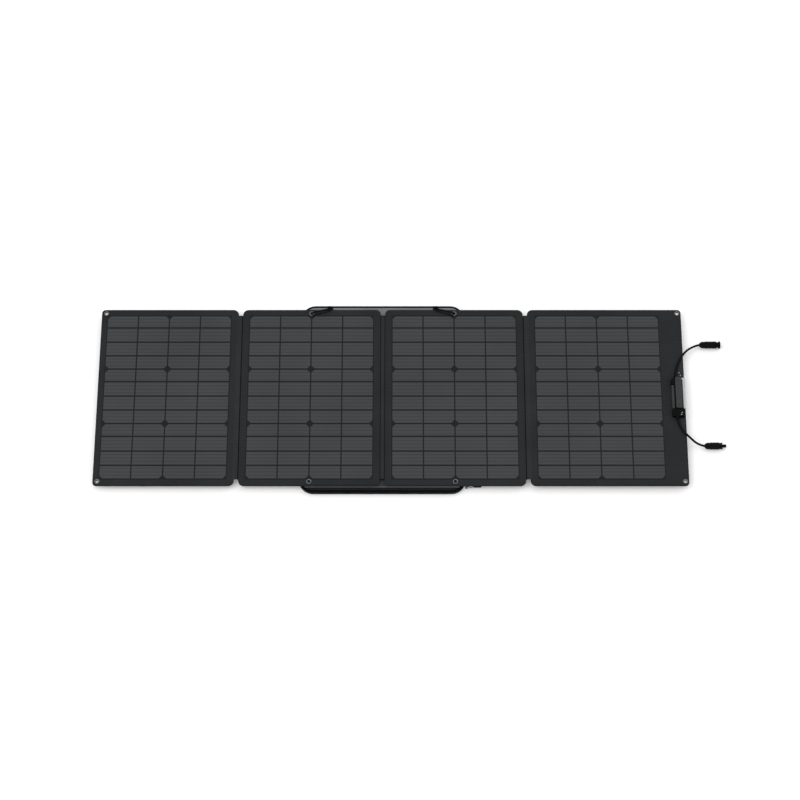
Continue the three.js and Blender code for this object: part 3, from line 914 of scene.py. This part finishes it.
def make_cells(number):
    """Six square cells with clipped corners, each cut into two columns of four, on a dark sheet."""
    body = f"panel_{number}"
    x0, x1, y0, y1 = laminate_rect(number)
    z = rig.box(f"panel_{number}_laminate")[1].z
    sheet_top = z - 0.35 * MM
    sheet = plate(
        f"{body}_cell_sheet", [outline(x0, x1, y0, y1, [LAMINATE_CORNER] * 4, 4)],
        PANEL_SPLIT + 0.2 * MM, sheet_top, 0.1 * MM,
    )
    finish_piece(sheet, MATERIALS["grid"], body, "cell_laminate", [f"{body}_laminate"])
    left = (x0 + x1) / 2 - CELL_BLOCKS[0] / 2 * CELL
    top = (y0 + y1) / 2 + CELL_BLOCKS[1] / 2 * CELL
    vertices, faces = [], []

    def tile(points):
        base = len(vertices)
        count = len(points)
        middle_x = sum(p[0] for p in points) / count
        middle_y = sum(p[1] for p in points) / count
        for height, shrink in ((sheet_top, 0), (z - 0.06 * MM, 0), (z, 0.12 * MM)):
            for x, y in points:
                dx = math.copysign(shrink, x - middle_x)
                dy = math.copysign(shrink, y - middle_y)
                vertices.append((x - dx, y - dy, height))
        for ring in (0, 1):
            for i in range(count):
                j = (i + 1) % count
                low, high = base + ring * count, base + (ring + 1) * count
                faces.append((low + i, low + j, high + j, high + i))
        faces.append(tuple(base + 2 * count + i for i in range(count)))
        faces.append(tuple(base + i for i in reversed(range(count))))

    columns, rows = CELL_BLOCKS
    for block_column in range(columns):
        for block_row in range(rows):
            bx = left + block_column * CELL
            by = top - block_row * CELL
            row_top = by
            for row, share in enumerate(ROW_SHARES):
                row_bottom = row_top - share * CELL
                for column in range(2):
                    cx0 = bx + column * CELL / 2 + CELL_GAP_X / 2
                    cx1 = cx0 + CELL / 2 - CELL_GAP_X
                    cy0, cy1 = row_bottom + CELL_GAP_Y / 2, row_top - CELL_GAP_Y / 2
                    c = [0, 0, 0, 0]  # clipped corners: near left, near right, far right, far left
                    if row == 0:
                        c[3 if column == 0 else 2] = CELL_CLIP
                    if row == len(ROW_SHARES) - 1:
                        c[0 if column == 0 else 1] = CELL_CLIP
                    points = []
                    for (px, py), size, first, second in (
                        ((cx0, cy0), c[0], (0, 1), (1, 0)), ((cx1, cy0), c[1], (-1, 0), (0, 1)),
                        ((cx1, cy1), c[2], (0, -1), (-1, 0)), ((cx0, cy1), c[3], (1, 0), (0, -1)),
                    ):
                        if size:
                            points.append((px + first[0] * size, py + first[1] * size))
                            points.append((px + second[0] * size, py + second[1] * size))
                        else:
                            points.append((px, py))
                    tile(points)
                row_top = row_bottom
    cells = tidy_normals(new_mesh(f"{body}_cells", vertices, faces))
    finish_piece(cells, MATERIALS["cell"], body, "cell_laminate")


def make_grommets():
    for number in PANELS:
        for side in ("far", "near"):
            low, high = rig.box(f"grommet_{number}_{side}")
            x, y = grommet_centre(number, side)
            foot = [(0, 4.0), (0, 6.2), (0.3, 6.6), (0.6, 6.4), (0.6, 4.8)]  # height from the end, radius
            head = [
                (-0.8, 4.8), (-0.8, 6.3), (-0.6, 6.6), (-0.3, 6.5), (-0.1, 6.0), (0, 5.3), (-0.15, 4.6),
                (-0.5, 4.15), (-1, 4.0),
            ]
            profile = [(low.z + rise * MM, radius * MM) for rise, radius in foot]
            profile += [(high.z + rise * MM, radius * MM) for rise, radius in head]
            ring = turned(f"eyelet_{number}_{side}", profile, (x, y, 0), (0, 0, 1), 48)
            finish_piece(ring, MATERIALS["eyelet"], f"panel_{number}", "steel", [f"grommet_{number}_{side}"])


def fold_cloth(name, section, reach, material):
    """A thin cloth along Y whose section is a line of (x, z), subdivided so that it can bend."""
    thickness = 0.5 * MM
    rows = 60
    vertices, faces = [], []
    count = len(section)
    for r in range(rows + 1):
        y = -reach + 2 * reach * r / rows
        vertices += [(x, y, z) for x, z in section]
        vertices += [(x, y, z - thickness) for x, z in section]
    stride = 2 * count
    for r in range(rows):
        a, b = r * stride, (r + 1) * stride
        for i in range(count - 1):
            faces.append((a + i, a + i + 1, b + i + 1, b + i))
            faces.append((a + count + i, b + count + i, b + count + i + 1, a + count + i + 1))
        faces.append((a, b, b + count, a + count))
        faces.append((a + count - 1, a + 2 * count - 1, b + 2 * count - 1, b + count - 1))
    for a, flip in ((0, False), (rows * stride, True)):
        for i in range(count - 1):
            face = (a + i, a + count + i, a + count + i + 1, a + i + 1)
            faces.append(tuple(reversed(face)) if flip else face)
    piece = tidy_normals(new_mesh(name, vertices, faces))
    piece.data.materials.append(material)
    return smooth(piece, 60)


def make_folds():
    top = PANEL_TOP
    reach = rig.box("fold_strip_1")[1].y
    # outer folds: the strip runs on from the outer panel and drops into one crease beside the inner one;
    # steps are mm from the outer panel's edge and mm from the panels' top
    for node, outer, inner, toward in (
        ("fold_strip_1", "panel_1", "panel_2", 1), ("fold_strip_3", "panel_4", "panel_3", -1),
    ):
        low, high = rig.box(node)
        outer_x = low.x if toward > 0 else high.x
        inner_x = high.x if toward > 0 else low.x
        steps = (
            (-5.0, 0.05), (-2.5, 0.12), (0.5, 0.06), (2.2, 0.0), (3.9, 0.0), (5.6, 0.0), (7.2, 0.0),
            (7.9, -0.05), (8.4, -0.4), (8.7, -1.4), (9.1, -2.1), (9.9, -2.3), (10.5, -1.9), (10.9, -1.3),
            (13.6, -1.2),
        )
        section = [(outer_x + toward * x * MM, top + z * MM) for x, z in steps]
        cloth = fold_cloth(f"{node}_cloth", section, reach, MATERIALS["strip"])
        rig.blend(cloth, outer, inner, start=(outer_x, 0, top), end=(inner_x, 0, top))
        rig.replaces(cloth, node)
        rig.slot(cloth, "front_fabric")
        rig.sheet(cloth, flat=(FOLD_CLOTH_WIDTH, 2 * reach), held="stretched", rests_on=[])
        # painted shade: a dark cord along the crease for its shadow line
        make_crease_shade_cord(f"{node}_piping", inner_x - toward * 0.7 * MM, inner, reach)
    # middle fold: a strip with a crease on each side
    low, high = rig.box("fold_strip_2")
    rect = (low.x + 1.2 * MM, high.x - 1.2 * MM, low.y, high.y)
    spine = loft("middle_strip_cloth", rect, 1 * MM, [
        (0.4 * MM, low.z), (0, low.z + 0.4 * MM), (0, top - 0.5 * MM), (0.3 * MM, top - 0.1 * MM),
        (1.2 * MM, top),
    ], False, 4)
    finish_piece(spine, MATERIALS["strip"], "middle_strip", "front_fabric", ["fold_strip_2"])
    for body, edge, toward in (("panel_2", low.x, 1), ("panel_3", high.x, -1)):
        steps = ((-3.4, -0.9), (-1.4, -1.1), (-0.7, -1.4), (0, -1.6), (0.7, -1.4), (1.4, -1.1), (3.4, -0.9))
        section = [(edge + toward * x * MM, top + z * MM) for x, z in steps]
        cloth = fold_cloth(f"middle_crease_{body}", section, reach, MATERIALS["strip"])
        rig.blend(
            cloth, body, "middle_strip",
            start=(edge - toward * 1.0 * MM, 0, top), end=(edge + toward * 1.0 * MM, 0, top),
        )
        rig.slot(cloth, "front_fabric")
        # painted shade: a dark cord along each crease for its shadow line
        make_crease_shade_cord(f"middle_piping_{body}", edge, body, reach)

    ends = [
        loft("end", (low.x + 0.4 * MM, high.x - 0.4 * MM, y - 0.8 * MM, y + 0.8 * MM), 0.7 * MM, [
            (0, top - 0.9 * MM), (0, top), (0.4 * MM, top + 0.4 * MM),
        ], False, 4)
        for y in (-reach + 0.9 * MM, reach - 0.9 * MM)
    ]
    finish_piece(smooth(join("middle_strip_ends", ends), 40), MATERIALS["webbing"], "middle_strip", "webbing")


def make_crease_shade_cord(name, x, body, reach):
    """A dark cord laid along a fold's crease: painted shade, standing in for the shadow line in the crease."""
    z = PANEL_TOP - 1.15 * MM
    cord = solid_rod(name, [(x, -reach + k * reach / 4, z) for k in range(9)], 0.75 * MM)
    finish_piece(cord, MATERIALS["webbing"], body, "webbing")


# ---------------------------------------------------------------- junction box
def make_junction_box():
    for node, bevel, look, slot in (
        ("junction_box_base", 0.4, "black", "black_plastic"),
        ("junction_box_lid", 0.9, "grey", "grey_plastic"),
        ("junction_box_side_rib", 1.0, "grey", "grey_plastic"),
        ("junction_box_end_piece", 1.4, "black", "black_plastic"),
        ("cable_clamp", 2.2, "black", "black_plastic"),
        ("edge_guard", 0.9, "light", "light_rubber"),
    ):
        piece = refined(node, bevel * MM)
        finish_piece(piece, MATERIALS[look], "panel_4", slot, [node])
    make_lid_fins()
    for k in (1, 2):
        low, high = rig.box(f"lid_screw_{k}")
        x, y = (low.x + high.x) / 2, (low.y + high.y) / 2
        profile = [
            (high.z - 1.6 * MM, 0), (high.z - 1.6 * MM, 3.0 * MM), (high.z - 0.5 * MM, 3.0 * MM),
            (high.z - 0.1 * MM, 2.3 * MM), (high.z, 1.5 * MM), (high.z, 1.2 * MM),
            (high.z - 0.7 * MM, 1.1 * MM), (high.z - 0.7 * MM, 0),
        ]
        head = turned(f"lid_screw_{k}_head", profile, (x, y, 0), (0, 0, 1), 36)
        finish_piece(head, MATERIALS["black_steel"], "panel_4", "steel", [f"lid_screw_{k}"])
    make_box_fittings()


def make_lid_fins():
    """A row of low fins across the lid."""
    low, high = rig.box("junction_box_lid")
    side_margin = 2.4 * MM
    first_y = low.y + 24 * MM
    pitch = 5.4 * MM
    width = 2.2 * MM
    rings = [(0, high.z - 0.5 * MM), (0, high.z + 0.3 * MM), (0.3 * MM, high.z + 0.6 * MM)]
    fins = []
    for k in range(9):
        y = first_y + k * pitch
        rect = (low.x + side_margin, high.x - side_margin, y, y + width)
        fins.append(loft(f"fin_{k}", rect, 1.0 * MM, rings, False, 4))
    finish_piece(smooth(join("lid_fins", fins), 40), MATERIALS["grey"], "panel_4", "grey_plastic")


def make_box_fittings():
    """The parts sewn and riveted round the junction box."""
    top = PANEL_TOP
    for name, x, z, radius in (("left", 730.1, 30.4, 1.8), ("right", 749.5, 27.3, 1.4)):
        edge = solid_rod(f"box_side_cord_{name}", [
            (x * MM, y * MM, z * MM) for y in (-39, -20, 0, 20, 40, 46)
        ], radius * MM)
        finish_piece(edge, MATERIALS["black"], "panel_4", "black_plastic")
    upper = ((738, 54.5), (754.6, 54.5), (754.6, 112), (751.5, 108), (745, 94), (740, 76))
    lower = ((741, -66), (741.6, -75), (745, -88), (750, -99), (754.6, -106), (754.6, -66))
    for name, points in (("upper", upper), ("lower", lower)):
        loop = in_order(in_metres(points))
        flap = plate(f"box_flap_{name}", [loop], top - 0.1 * MM, top + 0.35 * MM, 0.12 * MM)
        finish_piece(flap, MATERIALS["flap"], "panel_4", "front_fabric")
    clamp_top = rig.box("cable_clamp")[1].z
    for k, (x, y, seat) in enumerate((
        (744, 70, top + 0.3 * MM), (747, 62, top + 0.3 * MM), (746, -54, clamp_top), (744, -59.5, clamp_top),
    )):
        profile = [
            (seat - 0.4 * MM, 0), (seat - 0.4 * MM, 1.6 * MM), (seat + 0.1 * MM, 1.6 * MM),
            (seat + 0.45 * MM, 1.35 * MM), (seat + 0.75 * MM, 0.8 * MM), (seat + 0.85 * MM, 0),
        ]
        rivet = turned(f"box_rivet_{k + 1}", profile, (x * MM, y * MM, 0), (0, 0, 1), 32)
        finish_piece(rivet, MATERIALS["steel"], "panel_4", "steel")
    rings = [(0, clamp_top - 1 * MM), (0, clamp_top + 0.4 * MM), (0.5 * MM, clamp_top + 0.9 * MM)]
    ridges = []
    for k in range(4):
        rect = ((723 + 5 * k) * MM, (725.4 + 5 * k) * MM, -61 * MM, -43 * MM)
        ridges.append(loft(f"ridge_{k}", rect, 1.1 * MM, rings, False, 5))
    finish_piece(smooth(join("clamp_ridges", ridges), 40), MATERIALS["black"], "panel_4", "black_plastic")


# ---------------------------------------------------------------- carrying case
def case_rect(node):
    low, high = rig.box(node)
    return (low.x, high.x, low.y, high.y), low.z, high.z


def make_pad(node, body, soft, channels):
    """One padded half: soft rounded sides, and a sewn channel at each inset round its underside."""
    rect, bottom, top = case_rect(node)
    height = top - bottom
    profile = [(190 * MM, bottom)]
    for inset in channels:
        profile += [(inset + 4.5 * MM, bottom), (inset + 1.2 * MM, bottom + 0.35 * MM)]
        profile += [(inset, bottom + 0.9 * MM)]
        profile += [(inset - 1.2 * MM, bottom + 0.35 * MM), (inset - 4.5 * MM, bottom)]
    profile += [
        (soft, bottom + 0.12 * height), (0.5 * MM, bottom + 0.3 * height), (0, bottom + 0.5 * height),
        (0.5 * MM, bottom + 0.72 * height), (soft, top - 0.1 * height), (16 * MM, top - 0.02 * MM),
        (60 * MM, top),
    ]
    pad = loft(f"{node}_cloth", rect, CASE_CORNER, profile, False, 14)
    finish_piece(pad, MATERIALS["case"], body, "case_fabric", [node])
    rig.padded(pad, fill=0.8)
    x0, x1, y0, y1 = rect
    rows = []
    for inset in channels:
        corner = max(CASE_CORNER - inset, SMALLEST_CORNER)
        rows.append(outline(x0 + inset, x1 - inset, y0 + inset, y1 - inset, [corner] * 4, 6))
    seam = stitches(f"{node}_stitching", rows, bottom + 0.75 * MM, -0.35 * MM)
    finish_piece(seam, MATERIALS["thread"], body, "case_fabric")


def make_binding(node, body, low_reach):
    """A rounded tape along a half's edge; low_reach is how far it hangs below its own middle."""
    rect, bottom, top = case_rect(node)
    middle = (bottom + top) / 2
    half_width = 2.6 * MM
    ring = []
    for i in range(12):
        angle = 2 * math.pi * i / 12
        rise = (top - middle) if math.sin(angle) > 0 else low_reach
        ring.append((half_width + half_width * math.cos(angle), middle + rise * math.sin(angle)))
    binding = loft(f"{node}_tape", rect, CASE_CORNER, ring, True, 14)
    finish_piece(binding, MATERIALS["webbing"], body, "webbing", [node])


def make_lining():
    """The grey lining, with a narrow dark strip and a wider mid-grey band laid along its near edge; both strips are
    painted shade, the lining darkened where its near edge lies in shadow.
    """
    rect, bottom, top = case_rect("case_lining")
    profile = [(0.6 * MM, bottom), (0, bottom + 0.3 * MM), (0.6 * MM, top - 0.1 * MM), (6 * MM, top)]
    lining = loft("case_lining_cloth", rect, LINING_CORNER, profile, False, 12)
    finish_piece(lining, MATERIALS["lining"], "case", "case_lining", ["case_lining"])
    flat = (rect[1] - rect[0], rect[3] - rect[2])
    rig.sheet(lining, flat=flat, held="stretched", rests_on=["case_upper_pad_cloth"])

    edge = outline(*rect, [LINING_CORNER] * 4, 40)
    # painted shade: a narrow dark strip along the lining's near edge
    near = [point for point in edge if point[1] < EDGE_SHADE_LIMIT_Y]
    edge_shade = plate("case_near_edge_shade", [near], top - 0.1 * MM, top + 0.35 * MM, 0.1 * MM)
    finish_piece(edge_shade, MATERIALS["edge_shade"], "case", "case_fabric")
    # painted shade: a wider mid-grey band, the lining darkened as if in shadow
    lining_shade_line = [point for point in edge if EDGE_SHADE_LIMIT_Y + 0.1 * MM < point[1] < LINING_SHADE_LIMIT_Y - 2 * MM]
    lining_shade_line += [(rect[1] - 0.3 * MM, LINING_SHADE_LIMIT_Y), (rect[0] + 0.3 * MM, LINING_SHADE_LIMIT_Y)]
    lining_shade = plate("case_near_lining_shade", [in_order(lining_shade_line)], top - 0.1 * MM, top + 0.25 * MM, 0.1 * MM)
    finish_piece(lining_shade, MATERIALS["lining_shade"], "case", "case_lining")


def make_spine():
    """The cloth hinge between the case's two halves."""
    rect, bottom, top = case_rect("case_spine")
    edge = 0.2 * MM
    rings = [(edge, bottom), (0, bottom + edge), (0, top - edge), (edge, top)]
    spine = loft("case_spine_cloth", rect, 2 * MM, rings, False, 4)
    finish_piece(spine, MATERIALS["webbing"], "case", "webbing", ["case_spine"])


def make_case():
    make_pad("case_upper_pad", "case", 1.6 * MM, (20 * MM,))
    make_pad("case_leg_pad", "stand_leg", 2.4 * MM, (130 * MM, 75 * MM, 20 * MM))
    make_binding("case_upper_binding", "case", 1.5 * MM)
    make_binding("case_leg_binding", "stand_leg", 0.8 * MM)
    make_lining()
    make_spine()
    make_zip()


def make_zip():
    """The tape, and teeth along it as far as the spine."""
    tape = refined("zip_tape", 0.15 * MM)
    finish_piece(tape, MATERIALS["webbing"], "case", "webbing", ["zip_tape"])
    low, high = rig.box("zip_tape")
    z = (low.z + high.z) / 2
    path = outline(low.x, high.x, low.y, -low.y, [CASE_CORNER] * 4, 12)
    half_length = 0.75  # these and the section are millimetres, scaled as each tooth is placed
    section = ((-1.0, -0.7), (0.4, -0.55), (0.4, 0.55), (-1.0, 0.7))  # outward and up
    tooth = [(a, o, h) for a in (-half_length, half_length) for o, h in section]
    sides = ((0, 1, 2, 3), (7, 6, 5, 4), (0, 4, 5, 1), (1, 5, 6, 2), (2, 6, 7, 3), (3, 7, 4, 0))
    vertices, faces = [], []
    for place, along in places_along(path, z, ZIP_PITCH):
        out = Vector((along.y, -along.x, 0))
        centre = place - out * 0.4 * MM
        if centre.y > high.y:
            continue
        base = len(vertices)
        vertices += [centre + along * a * MM + out * o * MM + Vector((0, 0, h * MM)) for a, o, h in tooth]
        faces += [tuple(base + i for i in side) for side in sides]
    teeth = tidy_normals(new_mesh("zip_teeth", vertices, faces))
    finish_piece(teeth, MATERIALS["dark_steel"], "case", "steel")
    make_slider()
    make_pull()


def make_pull():
    """The zip's ring and tab."""
    low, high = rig.box("zip_pull_ring")
    x, y, z = ((low[i] + high[i]) / 2 for i in range(3))
    wire = 0.8 * MM
    half_x, half_y = (high.x - low.x) / 2 - wire, (high.y - low.y) / 2 - wire
    angles = [k * math.pi / 6 for k in range(12)]
    loop = [(x + half_x * math.cos(angle), y + half_y * math.sin(angle), z) for angle in angles]
    ring = solid_rod("zip_pull_loop", loop, wire, True)
    finish_piece(ring, MATERIALS["dark_steel"], "zip", "steel", ["zip_pull_ring"])
    tab = refined("zip_pull_tab", 0.8 * MM)
    finish_piece(tab, MATERIALS["black"], "zip", "webbing", ["zip_pull_tab"])


def make_slider():
    """Two plates joined by a narrower core, and a bridge that holds the ring."""
    low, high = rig.box("zip_slider")
    plates = []
    for start, end in ((low.z, low.z + 1.7 * MM), (high.z, high.z - 1.7 * MM)):
        step = math.copysign(0.4 * MM, end - start)
        rings = [(0.7 * MM, start), (0.15 * MM, start + step), (0, start + 2 * step), (0.2 * MM, end)]
        plates.append(loft("plate", (low.x, high.x, low.y, high.y), 2.4 * MM, rings, False, 6))
    core = (low.x + 1.2 * MM, high.x - 1.2 * MM, low.y + 3 * MM, high.y - 3 * MM)
    plates.append(loft("core", core, 1.2 * MM, [(0, low.z + 1.2 * MM), (0, high.z - 1.2 * MM)], False, 5))
    y = (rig.box("zip_pull_ring")[0].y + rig.box("zip_pull_ring")[1].y) / 2
    plates.append(solid_rod("bridge", [
        (high.x + x * MM, y, (low.z + high.z) / 2 + z * MM)
        for x, z in ((-1, 2.7), (1.6, 2.3), (2.9, 0), (1.6, -2.3), (-1, -2.7))
    ], 0.6 * MM))
    slider = smooth(join("zip_slider_finished", plates), 45)
    finish_piece(slider, MATERIALS["dark_steel"], "zip", "steel", ["zip_slider"])


# ---------------------------------------------------------------- hooks
def make_hook(side, inward, panel):
    """One hook through a far eyelet, its gate and its strap; inward is the way it points along X."""
    x, y = grommet_centre(panel[-1], "far")
    middle_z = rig.box("hook_gate_left")[1].z - 1.2 * MM

    def place(along, out, height=middle_z):
        return (x + inward * along * MM, y + out * MM, height)

    shank = solid_rod("shank", [
        place(0, 0, 17.4 * MM), place(0, 0, 21 * MM), place(1, 0.5, 24 * MM), place(5, 2.2),
        place(24, 7.4), place(43, 12),
    ], 1.8 * MM)
    eye = solid_rod("eye", [
        place(47 + 5 * math.cos(k * math.pi / 6), 14.4 + 5 * math.sin(k * math.pi / 6)) for k in range(12)
    ], 1.7 * MM, True)
    arm = solid_rod("arm", [place(48, 9), place(45.6, 6.8), place(42.8, 5)], 1.7 * MM)
    hook = smooth(join(f"hook_{side}_finished", [shank, eye, arm]), 60)
    finish_piece(hook, MATERIALS["hook"], panel, "black_plastic", [f"hook_{side}"])
    gate = solid_rod(f"hook_gate_{side}_finished", [
        place(2, -7), place(12, -4.2), place(22, -1.4), place(32, 1.4), place(41, 4.2),
    ], 1.2 * MM)
    finish_piece(gate, MATERIALS["hook"], f"gate_{side}", "black_plastic", [f"hook_gate_{side}"])
    strap = refined(f"hook_strap_{side}", 0.4 * MM)
    finish_piece(strap, MATERIALS["webbing"], panel, "webbing", [f"hook_strap_{side}"])


make_camera()
make_cords()
make_studio()
for panel_number in PANELS:
    make_panel(panel_number)
make_grommets()
make_folds()
make_junction_box()
make_case()
make_hook("left", 1, "panel_2")
make_hook("right", -1, "panel_3")
visual_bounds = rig.bounds()
with open("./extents.json", "w") as size_file:
    json.dump({"cad": [list(v) for v in cad_bounds], "visual": [list(v) for v in visual_bounds]}, size_file)
